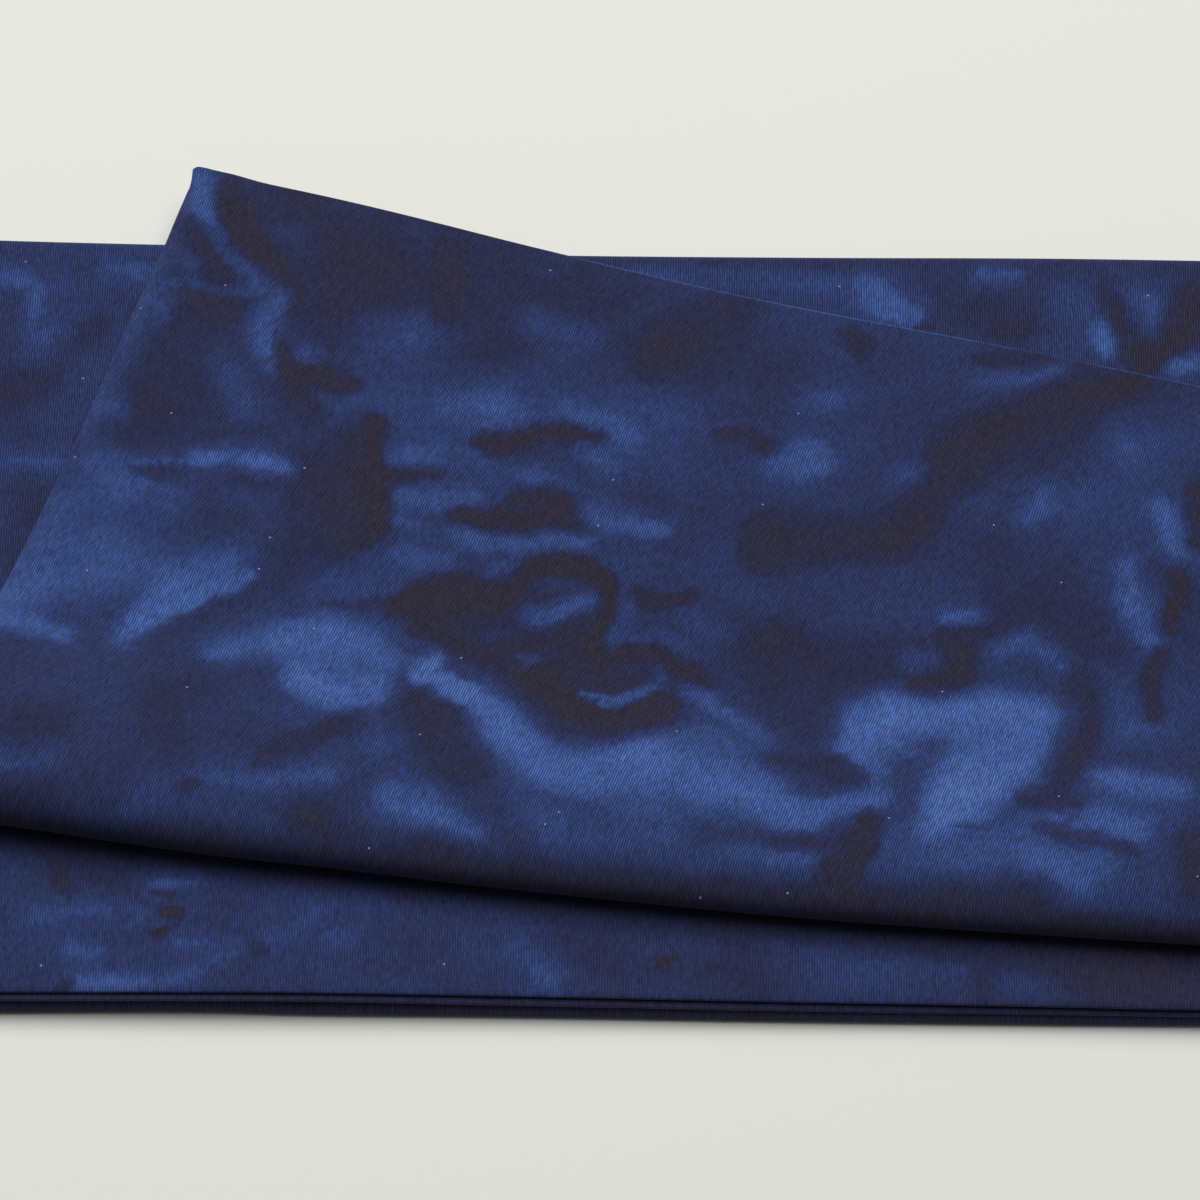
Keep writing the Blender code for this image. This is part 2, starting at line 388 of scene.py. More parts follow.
def build_cloth(lower, upper):
    """The cut as one sheet mesh, from its lower ply round the doubled end to its upper ply."""
    points = np.concatenate([lower.points[:0:-1], upper.points])
    s = np.concatenate([lower.s[:0:-1], upper.s])
    columns, count = points.shape[:2]
    places = (points.reshape(-1, 3) - np.array(TABLE_ORIGIN)) * MM
    index = np.arange(columns * count).reshape(columns, count)
    corners = np.stack(
        [index[:-1, :-1], index[1:, :-1], index[1:, 1:], index[:-1, 1:]], axis=-1).reshape(-1, 4)
    mesh = bpy.data.meshes.new("batik_cloth")
    mesh.from_pydata(places.tolist(), [], corners.tolist())

    flat = np.stack(np.meshgrid(s, upper.v, indexing="ij"), axis=-1).reshape(-1, 2)
    layer = mesh.uv_layers.new(name="cut")
    layer.uv.foreach_set("vector", flat[corners.ravel()].astype(np.float32).ravel())
    for name in ("ground", "deep", "pale"):
        values = np.concatenate([lower.dye[name][:0:-1], upper.dye[name]])
        attribute = mesh.attributes.new(name, "FLOAT_VECTOR", "POINT")
        attribute.data.foreach_set("vector", values.astype(np.float32).ravel())
    mesh.shade_smooth()
    cloth = bpy.data.objects.new("indigo_batik_cloth", mesh)
    bpy.context.scene.collection.objects.link(cloth)
    thickness = cloth.modifiers.new("cotton thickness", "SOLIDIFY")
    thickness.thickness = CLOTH_THICKNESS * MM
    thickness.offset = 0.0
    return cloth


def linear(hex_colour):
    """An sRGB hex colour as linear red, green, blue and alpha."""
    values = [int(hex_colour[i:i + 2], 16) / 255 for i in (1, 3, 5)]
    return [c / 12.92 if c <= 0.04045 else ((c + 0.055) / 1.055) ** 2.4 for c in values] + [1.0]


def add_node(tree, kind, inputs=None, **settings):
    """Add a shader node. Each input is a number, a colour, an output or a node's first output."""
    made = tree.nodes.new("ShaderNode" + kind)
    for name, value in settings.items():
        setattr(made, name, value)
    for socket, value in (inputs or {}).items():
        if isinstance(value, bpy.types.Node):
            value = value.outputs[0]
        if isinstance(value, bpy.types.NodeSocket):
            tree.links.new(value, made.inputs[socket])
        else:
            made.inputs[socket].default_value = value
    return made


def in_picture(points):
    """Where points on the table show in the picture, in pixels from its top left corner."""
    x = points[..., 0] * math.cos(CAMERA_TURN) + points[..., 1] * math.sin(CAMERA_TURN)
    y = points[..., 1] * math.cos(CAMERA_TURN) - points[..., 0] * math.sin(CAMERA_TURN)
    z = points[..., 2]
    depth = CAMERA_DISTANCE + y * math.cos(CAMERA_RISE) - z * math.sin(CAMERA_RISE)
    right = FOCAL_PIXELS * x / depth
    down = -FOCAL_PIXELS * (y * math.sin(CAMERA_RISE) + z * math.cos(CAMERA_RISE)) / depth
    return np.stack([right, down], axis=-1) + PICTURE_SIDE / 2


# Strokes of dye, laid in this order. Each row is depth, edge, points.
# depth is how much dye the cotton holds there, in hundredths, from 0 for the palest, and edge is how
# far the stroke fades into what is round it. Each point is a place in the 1200 pixel picture and half
# the stroke's width there, and edge is in those pixels too.
# Some of these strokes are painted shade and painted highlight rather than dye, and are marked where
# they lie.
FLAP_DYE_AND_PAINTED_LIGHT = [
    # Broad grounds.
    (76, 90, [(300, 235, 60), (450, 275, 60), (600, 300, 40)]),
    (80, 60, [(640, 360, 26), (700, 345, 40), (730, 315, 24)]),
    (79, 50, [(170, 330, 40), (165, 390, 45), (215, 420, 28)]),
    (70, 70, [(300, 500, 60), (230, 510, 50)]),
    (54, 60, [(430, 440, 50), (640, 440, 60), (640, 480, 50)]),
    (64, 60, [(860, 380, 50), (960, 400, 40)]),
    (76, 70, [(780, 600, 70), (790, 680, 60), (860, 640, 50)]),
    (62, 60, [(680, 560, 50), (880, 590, 50)]),
    (72, 60, [(1010, 570, 50), (1070, 620, 50), (1120, 670, 40)]),
    (56, 60, [(1080, 500, 50), (1150, 470, 50)]),
    (40, 50, [(10, 590, 40), (80, 540, 55), (120, 490, 34)]),
    (50, 40, [(150, 535, 30), (165, 510, 24)]),
    (66, 60, [(30, 690, 40), (140, 690, 50), (230, 700, 40)]),
    (60, 40, [(230, 610, 26), (330, 600, 34), (400, 580, 20)]),
    (46, 50, [(330, 580, 22), (410, 570, 18)]),
    (48, 60, [(520, 815, 60), (660, 825, 50), (780, 850, 30)]),
    (38, 60, [(640, 740, 40), (720, 760, 40), (760, 790, 30)]),
    (50, 60, [(1120, 740, 60), (1130, 800, 60), (1080, 830, 50)]),
    (44, 50, [(890, 850, 34), (980, 850, 34), (1080, 860, 40)]),
    # Upper left: the pale bend and what lies beside it.
    (84, 40, [(250, 200, 20), (262, 250, 24), (296, 286, 20)]),
    (93, 13, [(230, 190, 11), (234, 214, 13), (249, 244, 15), (274, 274, 15), (294, 300, 8)]),
    (84, 40, [(300, 205, 24), (370, 280, 44), (330, 300, 30)]),
    (60, 26, [(276, 236, 10), (296, 240, 12)]),
    (86, 24, [(196, 228, 10), (208, 252, 20), (226, 276, 16)]),
    (76, 18, [(172, 258, 9), (190, 272, 8)]),
    # A thin line of painted shadow under the ridge of the crease here.
    (88, 8, [(184, 294, 3), (204, 301, 8), (228, 304, 7), (250, 305, 2)]),
    (82, 20, [(216, 322, 10), (226, 312, 12)]),
    # A pale band along the doubled end: painted highlight where its round edge catches the light.
    (46, 18, [(160, 262, 7), (146, 304, 9), (118, 362, 10), (88, 428, 10)]),
    (36, 14, [(202, 184, 12), (203, 206, 12), (214, 228, 8)]),
    (44, 12, [(216, 228, 5), (227, 250, 4), (240, 268, 6)]),
    (42, 20, [(203, 174, 7), (240, 182, 6)]),
    (40, 15, [(240, 266, 5), (258, 282, 9), (280, 298, 10), (270, 316, 14)]),
    (44, 18, [(206, 294, 4), (250, 294, 8)]),
    (34, 16, [(264, 322, 12), (262, 348, 14), (268, 364, 7)]),
    (45, 8, [(166, 284, 3), (196, 280, 4)]),
    (44, 10, [(146, 298, 3), (164, 305, 5), (160, 318, 5)]),
    (50, 12, [(176, 248, 3), (190, 264, 3)]),
    (48, 20, [(222, 366, 5), (232, 380, 13), (242, 402, 14)]),
    (44, 40, [(380, 345, 24), (412, 340, 24)]),
    (48, 30, [(335, 402, 14), (360, 398, 16), (400, 400, 16)]),
    (42, 12, [(304, 350, 6), (312, 354, 8)]),
    (93, 10, [(281, 346, 7), (285, 364, 10), (292, 374, 10)]),
    (92, 14, [(294, 374, 9), (322, 374, 11), (342, 384, 8), (354, 386, 4)]),
    (88, 26, [(298, 392, 16), (308, 410, 13)]),
    (90, 30, [(372, 428, 12), (352, 446, 22), (344, 464, 24), (362, 492, 26), (372, 520, 18),
              (340, 546, 14)]),
    (82, 44, [(324, 470, 22), (320, 510, 32), (300, 550, 18)]),
    (94, 12, [(376, 426, 9), (370, 446, 10), (372, 468, 12), (384, 488, 12), (384, 514, 12),
              (378, 532, 9)]),
    (42, 14, [(396, 458, 9), (440, 457, 11)]),
    (86, 10, [(386, 480, 7), (410, 478, 6), (440, 473, 3)]),
    (42, 16, [(404, 500, 10), (440, 500, 12), (480, 495, 8)]),
    (46, 12, [(402, 520, 10), (420, 528, 8)]),
    (89, 18, [(448, 252, 17), (448, 284, 18), (446, 312, 9)]),
    (76, 24, [(496, 350, 14), (530, 348, 12)]),
    (90, 36, [(650, 368, 12), (664, 350, 20), (690, 338, 16)]),
    (50, 30, [(536, 322, 14), (590, 336, 12)]),
    (80, 12, [(582, 272, 7), (584, 284, 6)]),
    # The short pale stroke over the left edge's crease.
    (42, 20, [(96, 402, 10), (118, 408, 10)]),
    (72, 14, [(96, 432, 4), (124, 440, 6), (160, 447, 6), (206, 446, 5), (240, 438, 4)]),
    (40, 24, [(90, 462, 12), (150, 464, 9), (210, 462, 10)]),
    (26, 15, [(194, 463, 6), (222, 458, 8), (252, 458, 8), (284, 465, 7)]),
    (72, 9, [(132, 470, 2), (170, 474, 3), (210, 468, 4), (250, 470, 4), (292, 474, 3)]),
    (54, 20, [(232, 494, 8), (262, 502, 9)]),
    # The middle: two dark bars, a ring and what hangs under it.
    (36, 26, [(452, 408, 16), (500, 404, 20), (526, 414, 12)]),
    (38, 24, [(568, 412, 12), (604, 424, 14), (628, 438, 12)]),
    (93, 10, [(482, 440, 8), (502, 446, 11), (526, 439, 9), (548, 434, 11), (572, 434, 10),
              (594, 439, 7)]),
    (68, 18, [(510, 460, 7), (556, 458, 8), (582, 474, 7), (606, 486, 5)]),
    (38, 14, [(584, 450, 3), (600, 460, 6), (612, 468, 6)]),
    (44, 18, [(526, 478, 10), (560, 484, 8)]),
    (92, 12, [(516, 498, 8), (544, 500, 11), (570, 508, 11)]),
    (95, 11, [(458, 514, 6), (484, 522, 12), (520, 520, 13), (552, 518, 12), (580, 522, 8)]),
    (38, 16, [(588, 514, 4), (612, 524, 8), (664, 528, 10)]),
    (68, 24, [(636, 496, 10), (664, 500, 12)]),
    (38, 15, [(452, 536, 4), (480, 544, 10), (520, 545, 9), (560, 536, 7), (588, 542, 5)]),
    (42, 14, [(398, 552, 8), (420, 562, 11), (444, 563, 6)]),
    (47, 12, [(488, 568, 7), (512, 566, 7)]),
    (80, 24, [(440, 606, 30), (500, 610, 30), (560, 620, 30), (580, 650, 20)]),
    (94, 12, [(396, 606, 10), (420, 606, 20), (452, 600, 22), (490, 596, 18), (520, 586, 12)]),
    (90, 12, [(424, 622, 16), (452, 638, 12), (482, 654, 9), (506, 664, 6)]),
    (96, 10, [(512, 580, 10), (532, 568, 13), (562, 563, 12), (588, 572, 12), (606, 584, 11),
              (611, 606, 9), (604, 630, 9), (596, 652, 12)]),
    (88, 12, [(506, 648, 9), (540, 642, 9), (586, 642, 12)]),
    (40, 16, [(530, 614, 4), (552, 616, 11), (576, 608, 10), (590, 602, 5)]),
    (31, 14, [(540, 622, 2), (556, 620, 4), (574, 614, 2)]),
    (60, 20, [(500, 632, 8), (560, 644, 6)]),
    (58, 5, [(498, 655, -1), (520, 653, 0), (546, 656, -1)]),
    (52, 5, [(510, 666, -1), (526, 666, 1), (540, 664, 0)]),
    (50, 14, [(626, 600, 6), (626, 622, 8), (614, 646, 6)]),
    (84, 26, [(576, 668, 20), (620, 690, 24), (660, 706, 20)]),
    (90, 28, [(516, 676, 8), (544, 684, 20), (576, 708, 22), (606, 722, 22), (640, 716, 18),
              (668, 700, 12)]),
    (95, 14, [(530, 678, 10), (556, 690, 14), (580, 708, 14), (604, 716, 14), (628, 708, 10),
              (650, 698, 6)]),
    (92, 9, [(602, 666, 6), (628, 656, 12), (654, 652, 12), (674, 664, 9), (692, 674, 8),
             (708, 686, 4)]),
    (40, 6, [(577, 688, 0), (588, 696, 3), (601, 702, 8), (613, 703, 6), (628, 697, 2), (646, 692, 2),
             (661, 685, 1), (664, 672, 0), (656, 664, 0)]),
    (50, 14, [(634, 640, 4), (666, 636, 7), (684, 652, 6)]),
    (90, 9, [(634, 596, 4), (646, 600, 6), (668, 602, 7), (694, 600, 4)]),
    (48, 26, [(690, 620, 12), (712, 632, 10)]),
    (86, 30, [(760, 640, 14), (780, 636, 16)]),
    (38, 26, [(772, 470, 12), (806, 456, 16), (826, 464, 12), (796, 474, 12)]),
    (86, 12, [(720, 436, 5), (744, 437, 8), (768, 446, 7)]),
    # Below the middle: pale runs and the dark tongues between them.
    (24, 24, [(474, 694, 12), (492, 716, 20), (514, 740, 24), (548, 764, 22), (596, 772, 22),
              (646, 768, 26), (684, 770, 14)]),
    (20, 14, [(434, 660, 8), (420, 676, 11), (446, 682, 13), (468, 694, 11)]),
    (80, 22, [(416, 700, 12), (436, 724, 26), (446, 752, 28), (474, 778, 18)]),
    (66, 30, [(482, 800, 20), (500, 826, 20), (520, 846, 16)]),
    (27, 28, [(388, 800, 20), (420, 808, 22), (450, 824, 14), (476, 834, 6)]),
    (27, 24, [(700, 788, 10), (738, 792, 14), (776, 810, 14), (812, 820, 12)]),
    (40, 12, [(690, 694, 7), (720, 706, 8), (746, 726, 8), (770, 744, 5)]),
    (70, 18, [(700, 838, 4), (760, 838, 5), (830, 846, 8)]),
    (38, 18, [(694, 866, 9), (740, 862, 12), (806, 868, 13)]),
    # Left.
    (38, 50, [(20, 588, 20), (80, 588, 22), (112, 560, 20)]),
    (28, 16, [(6, 622, 6), (40, 627, 8), (66, 638, 8)]),
    (25, 34, [(150, 612, 16), (172, 592, 22), (198, 572, 22), (226, 566, 15)]),
    (26, 10, [(136, 622, 8), (186, 602, 10), (218, 588, 9), (248, 577, 5)]),
    (36, 18, [(122, 638, 9), (134, 620, 10)]),
    (70, 16, [(158, 640, 9), (206, 618, 10), (240, 600, 8), (320, 562, 5)]),
    (72, 10, [(330, 608, 2), (356, 606, 4), (392, 602, 5)]),
    (27, 30, [(214, 652, 12), (272, 642, 18), (322, 640, 22), (372, 650, 22), (392, 662, 14)]),
    (27, 20, [(292, 676, 18), (330, 690, 22), (376, 690, 17)]),
    (36, 14, [(318, 672, 3), (352, 678, 4)]),
    (80, 30, [(28, 722, 16), (70, 722, 14)]),
    (76, 30, [(160, 716, 22), (184, 728, 16), (180, 750, 10)]),
    (82, 16, [(266, 756, 7), (296, 746, 9), (330, 732, 12), (354, 718, 7)]),
    (42, 24, [(0, 764, 9), (54, 760, 9)]),
    (44, 24, [(378, 748, 12), (384, 730, 9)]),
    (35, 24, [(208, 778, 8), (262, 779, 10), (330, 776, 10)]),
    (86, 7, [(184, 791, 4), (196, 783, 3)]),
    (52, 30, [(150, 800, 14), (230, 815, 14), (280, 820, 10)]),
    (84, 20, [(300, 816, 12), (318, 820, 11)]),
    (76, 30, [(0, 800, 16), (62, 800, 14)]),
    # Right.
    (46, 28, [(816, 402, 12), (846, 398, 10)]),
    (46, 18, [(982, 382, 11), (1020, 378, 11), (1064, 374, 7)]),
    (78, 14, [(984, 356, 8), (1030, 360, 8), (1062, 356, 4)]),
    (78, 16, [(1078, 370, 7), (1092, 376, 6)]),
    (88, 26, [(1130, 384, 12), (1080, 400, 24), (1020, 430, 30), (960, 460, 32), (935, 490, 22)]),
    (94, 22, [(1130, 382, 10), (1084, 396, 16), (1056, 412, 20), (1068, 428, 14)]),
    (92, 24, [(984, 450, 13), (948, 466, 18), (976, 472, 10)]),
    (74, 40, [(1080, 440, 20), (1010, 470, 16)]),
    (86, 20, [(770, 544, 30), (800, 540, 28), (850, 536, 24), (892, 538, 24), (924, 516, 18)]),
    (90, 24, [(760, 556, 18), (772, 548, 20)]),
    (48, 20, [(892, 480, 11), (914, 470, 8)]),
    (38, 18, [(1046, 492, 8), (1040, 504, 15), (1028, 516, 12)]),
    (46, 34, [(1124, 446, 14), (1152, 446, 12)]),
    (28, 24, [(1166, 510, 12), (1170, 536, 14), (1180, 558, 11)]),
    (30, 28, [(1128, 572, 11), (1128, 598, 16), (1138, 618, 18), (1150, 640, 11)]),
    (72, 18, [(1156, 572, 9), (1180, 580, 14), (1190, 640, 12)]),
    (95, 9, [(1178, 582, 9), (1177, 606, 8), (1173, 630, 4)]),
    (91, 12, [(1164, 654, 5), (1153, 672, 8), (1146, 696, 9), (1152, 714, 8)]),
    (36, 18, [(948, 619, 8), (974, 619, 9)]),
    (90, 12, [(944, 642, 8), (964, 650, 12), (966, 670, 11), (940, 680, 9), (914, 682, 5)]),
    (82, 8, [(938, 636, 3), (966, 635, 5), (1002, 629, 3)]),
    (48, 16, [(908, 662, 9), (930, 660, 8)]),
    (40, 18, [(1002, 648, 11), (1026, 640, 11), (1048, 656, 13), (1060, 672, 8)]),
    (28, 26, [(856, 716, 16), (850, 744, 18), (876, 774, 12)]),
    (26, 36, [(880, 730, 26), (930, 740, 34), (960, 780, 40), (1000, 740, 40)]),
    (21, 26, [(886, 702, 12), (930, 714, 14), (986, 716, 22), (1040, 722, 17), (1006, 756, 34),
              (954, 800, 26), (930, 828, 14)]),
    (46, 26, [(908, 744, 8), (934, 748, 10), (922, 764, 10)]),
    (56, 22, [(912, 772, 8), (900, 792, 11), (886, 812, 12)]),
    (26, 20, [(762, 800, 11), (802, 814, 14), (850, 804, 11), (884, 794, 8)]),
    (78, 16, [(774, 760, 8), (802, 768, 10), (836, 766, 10), (856, 774, 5)]),
    (88, 14, [(868, 824, 14), (858, 848, 18), (840, 872, 22), (832, 896, 20)]),
    (74, 10, [(766, 838, 4), (800, 842, 6), (836, 846, 7)]),
    (84, 20, [(1080, 688, 17), (1094, 714, 13), (1086, 742, 14), (1070, 766, 14), (1058, 790, 10)]),
    (78, 12, [(1024, 798, 6), (1050, 802, 8), (1078, 806, 5)]),
    (30, 20, [(1056, 818, 7), (1104, 824, 12), (1140, 832, 10)]),
    (30, 30, [(1034, 864, 18), (1068, 876, 18)]),
    (28, 18, [(1096, 776, 7), (1142, 784, 10), (1182, 789, 7)]),
    (64, 14, [(1104, 756, 5), (1150, 760, 7), (1194, 758, 6)]),
    (44, 24, [(1116, 724, 12), (1140, 732, 8)]),
    (88, 26, [(1194, 842, 14), (1198, 882, 22)]),
    (66, 30, [(1010, 888, 14), (1030, 896, 12)]),
    (52, 6, [(952, 827, 0), (968, 830, 1), (988, 829, 0)]),
    (70, 8, [(1038, 828, 3), (1062, 837, 5), (1112, 845, 4), (1140, 856, 6)]),
    (88, 14, [(1198, 490, 7), (1200, 545, 8)]),
    (86, 12, [(850, 334, 7), (862, 350, 9)]),
    # The front of the roll: painted shade where it turns down away from the lamp, and a deeper line
    # of painted shade along the crevice under it.
    (86, 40, [(160, 836, 2), (350, 850, 8), (500, 868, 14), (700, 888, 15), (860, 898, 18),
              (1026, 908, 18), (1070, 930, 7), (1240, 944, 7)]),
    (92, 22, [(-40, 822, 10), (100, 836, 10), (250, 856, 10), (500, 882, 10), (740, 904, 10),
              (1000, 924, 10), (1240, 940, 10)]),
]
STRIP_DYE_AND_SHADE = [
    (62, 60, [(200, 945, 34), (420, 950, 36)]),
    (69, 60, [(600, 960, 40), (760, 975, 34)]),
    (84, 60, [(980, 975, 40), (1180, 985, 40)]),
    (60, 40, [(0, 950, 16), (60, 960, 16)]),
    (62, 30, [(330, 905, 14), (410, 912, 12)]),
    (42, 26, [(34, 918, 12), (110, 912, 12), (140, 918, 9)]),
    (40, 22, [(176, 942, 6), (206, 944, 9), (232, 950, 7)]),
    (42, 22, [(160, 988, 7), (196, 972, 9), (220, 962, 8)]),
    (44, 22, [(270, 936, 9), (300, 930, 9), (318, 910, 7)]),
    (64, 24, [(440, 982, 10), (520, 984, 10)]),
    (54, 26, [(840, 972, 14), (880, 976, 14)]),
    (50, 22, [(1010, 980, 12), (1050, 996, 10)]),
    (66, 18, [(962, 968, 8), (966, 996, 8)]),
    (42, 20, [(70, 948, 9), (96, 955, 9)]),
    (42, 18, [(156, 878, 7), (196, 880, 7)]),
    (44, 18, [(330, 935, 9), (352, 937, 8)]),
    (34, 26, [(70, 985, 9), (140, 985, 9)]),
    (44, 30, [(520, 950, 12), (552, 980, 12)]),
    (60, 20, [(10, 932, 4), (90, 930, 4)]),
    (88, 12, [(54, 870, 5), (62, 886, 6), (69, 898, 1)]),
    (80, 6, [(152, 891, -1), (174, 892, 0), (194, 889, -1)]),
    (93, 7, [(167, 909, 2), (178, 914, 5), (187, 918, 2)]),
    (93, 6, [(145, 937, 0), (156, 936, 3), (169, 936, 1)]),
    (76, 10, [(258, 945, 6), (257, 955, 5)]),
    (66, 12, [(132, 924, 5), (116, 908, 4)]),
    (78, 10, [(66, 984, 5), (64, 991, 6)]),
    (66, 16, [(216, 984, 6), (250, 974, 5)]),
    (93, 6, [(660, 962, 4), (672, 959, 2)]),
    (74, 10, [(644, 934, 5), (660, 934, 5)]),
    (74, 10, [(594, 971, 5), (612, 970, 4)]),
    (70, 14, [(756, 955, 7), (770, 956, 6)]),
    (74, 16, [(980, 950, 9), (982, 1000, 9)]),
    (88, 12, [(1146, 966, 5), (1172, 966, 7)]),
    (50, 30, [(930, 966, 10), (950, 967, 10)]),
    # Under the roll: painted shadow that the roll casts on the strip.
    (88, 24, [(-40, 836, 8), (100, 850, 8), (250, 872, 8), (500, 898, 8), (740, 924, 11),
              (900, 934, 16), (1000, 942, 15), (1100, 952, 17), (1240, 964, 18)]),
]
UNDER_DYE = [
    (56, 50, [(60, 300, 40), (100, 320, 40)]),
    (58, 16, [(0, 246, 6), (160, 252, 6)]),
    (70, 14, [(560, 262, 4), (860, 264, 5), (1200, 268, 5)]),
    (36, 20, [(4, 274, 10), (24, 280, 8)]),
    (38, 18, [(34, 296, 8), (40, 324, 9), (46, 350, 9)]),
    (40, 20, [(108, 268, 8), (150, 276, 9)]),
    (64, 20, [(0, 306, 12), (16, 304, 8)]),
    (82, 16, [(90, 328, 8), (104, 322, 7)]),
    (76, 20, [(58, 352, 9), (88, 346, 9)]),
    (82, 24, [(8, 396, 18), (34, 388, 14), (56, 376, 8)]),
    (64, 30, [(0, 430, 16), (90, 424, 16)]),
    (46, 24, [(4, 462, 9), (60, 462, 8)]),
    (72, 30, [(30, 500, 20), (10, 550, 24)]),
    (42, 24, [(640, 270, 8), (760, 280, 12), (830, 284, 12)]),
    (40, 24, [(870, 290, 20), (905, 312, 20)]),
    (33, 14, [(880, 300, 12), (914, 315, 9)]),
    (92, 8, [(920, 330, 5), (930, 330, 6)]),
    (72, 30, [(960, 306, 18), (1030, 318, 18)]),
    (86, 16, [(1004, 332, 9), (1024, 330, 9)]),
    (36, 14, [(980, 275, 6), (1018, 276, 5)]),
    (50, 30, [(1070, 300, 16), (1090, 330, 14)]),
    (30, 14, [(1100, 328, 7), (1108, 350, 10)]),
    (92, 14, [(1108, 298, 9), (1120, 324, 10), (1132, 348, 13), (1146, 364, 14)]),
    (92, 18, [(1196, 296, 20), (1184, 318, 20), (1168, 346, 15), (1150, 366, 12)]),
    (44, 18, [(1148, 300, 9), (1152, 318, 9)]),
    (34, 14, [(1170, 372, 8), (1198, 362, 12)]),
]

# Painted shade on the lower ply's hanging end at the strip's near edge, which faces away from the
# lamp.
LIP_PAINTED_SHADE = [(84, 30, [(0, 1000, 20), (1200, 1015, 20)])]

# Strokes that fade out over less than this are drawn with their own sharp edges. The others melt
# into the ground.
SOFT_EDGE = 18
# Of those with sharp edges, the paler ones lie over the ones that are deeper than this.
DEEP_STROKE = 50
# Where no sharp-edged stroke lies: far outside its outline, any fade, any depth.
NO_STROKE = (-100.0, 1.0, 0.5)
# The outlines are crisp in places and soft in others: this many times wider, and up to this many
# times more or less, on waves of this size.
EDGE_SPREAD = 1.35
EDGE_RANGE = 2.0
EDGE_MM = 16.0
# Thin strokes lose some width between the points of the mesh, so they are laid on wider.
THIN_GAIN = 3.0
THIN_HALF = 14.0
# The thread ends at the flap's cut edge are painted dark near the doubled end, as shade on the edge,
# and pale further along, as a painted highlight where the lamp behind catches the edge. The near
# fold is painted deeper, as shade on its front, which faces away from the lamp.
CUT_EDGE_SHADE_AND_HIGHLIGHT = [(0.0, 0.88), (54.0, 0.88), (62.0, 0.26), (250.0, 0.34)]
NEAR_FOLD_SHADE_DEPTH = 0.86
# The ground has slow clouds of two sizes, and only faint ones in the picture, where the strokes lie.
# They come in over this many pixels past its edge.
GROUND_DEPTH = 0.64
CLOUD_MM = 34.0
SMALL_CLOUD_MM = CLOUD_MM / 2.6
CLOUD_DEPTH = 0.42
FAINT_CLOUDS = 0.15
SEEN_FADE = 90.0
# Every stroke's outline wanders by this much, in pixels, on waves of these sizes.
WANDER_MM = 11.0
FINE_WANDER_MM = WANDER_MM / 3
WANDER_REACH = 5.0
# Finer than that, the mottle and the creep of dye along the threads.
MOTTLE_MM = 14.0
MOTTLE_DEPTH = 0.38
CREEP_MM = 4.5
CREEP_REACH = 1.5
# The noise has a seed, because without one it starts from the clock, and each use of it on the cut
# has its own layer.
NOISE_SEED = 3
WANDER_LAYER = 7.3
FINE_WANDER_LAYER = 2.1
EDGE_LAYER = 5.6
CLOUD_LAYER = 4.4
SMALL_CLOUD_LAYER = 9.2


def stroke_reach(points, picture):
    """How far inside a stroke each place in the picture is, in pixels: under 0 outside it."""
    reach = np.full(picture.shape[:-1], -np.inf)
    for (x, y, half), (x_next, y_next, half_next) in zip(points, points[1:] + points[-1:]):
        way = np.array((x_next - x, y_next - y), dtype=float)
        share = np.clip((picture - (x, y)) @ way / max(way @ way, 1.0), 0.0, 1.0)
        nearest = np.array((x, y)) + share[..., None] * way
        half_here = half + (half_next - half) * share
        half_here += THIN_GAIN * (1.0 - smooth(half_here / THIN_HALF))
        reach = np.maximum(reach, half_here - np.linalg.norm(picture - nearest, axis=-1))
    return reach


def cloud(ply, size, layer):
    """Three slow noises on the cut, each about -1 to 1."""
    return np.array(
        [[noise.noise_vector((s / size, v / size, layer)) for v in ply.v] for s in ply.s])


def dye_and_painted_light_on(ply, strokes_of):
    """The dye on one ply, with painted shade and highlights laid in as deeper and paler dye: its
    ground, and the strokes with sharp edges, deep and pale.

    For those, the three values are how far inside the outline a point is, one over how far the
    outline fades, both by the millimetre, and the depth of the stroke.
    """
    drift = cloud(ply, WANDER_MM, WANDER_LAYER) + cloud(ply, FINE_WANDER_MM, FINE_WANDER_LAYER) / 2
    spread = EDGE_SPREAD * EDGE_RANGE ** cloud(ply, EDGE_MM, EDGE_LAYER)[..., 0]
    clouds = cloud(ply, CLOUD_MM, CLOUD_LAYER) + cloud(ply, SMALL_CLOUD_MM, SMALL_CLOUD_LAYER) / 2
    ground = GROUND_DEPTH + CLOUD_DEPTH * clouds[..., 0]
    layers = {name: np.full(ground.shape + (3,), NO_STROKE) for name in ("deep", "pale")}

    for part, strokes in strokes_of.items():
        here = np.s_[:, ply.rows[part]]
        picture = in_picture(ply.points[here])
        beyond = np.abs(picture - PICTURE_SIDE / 2).max(axis=-1) - PICTURE_SIDE / 2
        seen = 1.0 - smooth(beyond / SEEN_FADE)
        ground[here] = GROUND_DEPTH + (ground[here] - GROUND_DEPTH) * (1 - seen * (1 - FAINT_CLOUDS))
        picture = picture + WANDER_REACH * drift[here][..., :2]
        for depth, edge, points in strokes:
            reach = stroke_reach(points, picture)
            fade = edge * spread[here]
            if edge >= SOFT_EDGE:
                ground[here] += (depth / 100 - ground[here]) * smooth(reach / fade + 0.5)
                continue
            layer = layers["deep" if depth > DEEP_STROKE else "pale"][here]
            reach /= PIXELS_PER_MM
            nearer = reach > layer[..., 0]
            layer[nearer, 0] = reach[nearer]
            layer[nearer, 1] = PIXELS_PER_MM / fade[nearer]
            layer[nearer, 2] = depth / 100
    # Painted shade and highlight on the flap's cut edge, and painted shade on the near fold.
    ground[:, -1] = np.interp(np.abs(ply.s), *zip(*CUT_EDGE_SHADE_AND_HIGHLIGHT))
    ground[:, ply.rows["near fold"]] = NEAR_FOLD_SHADE_DEPTH
    return {"ground": np.repeat(ground[..., None], 3, axis=-1), **layers}


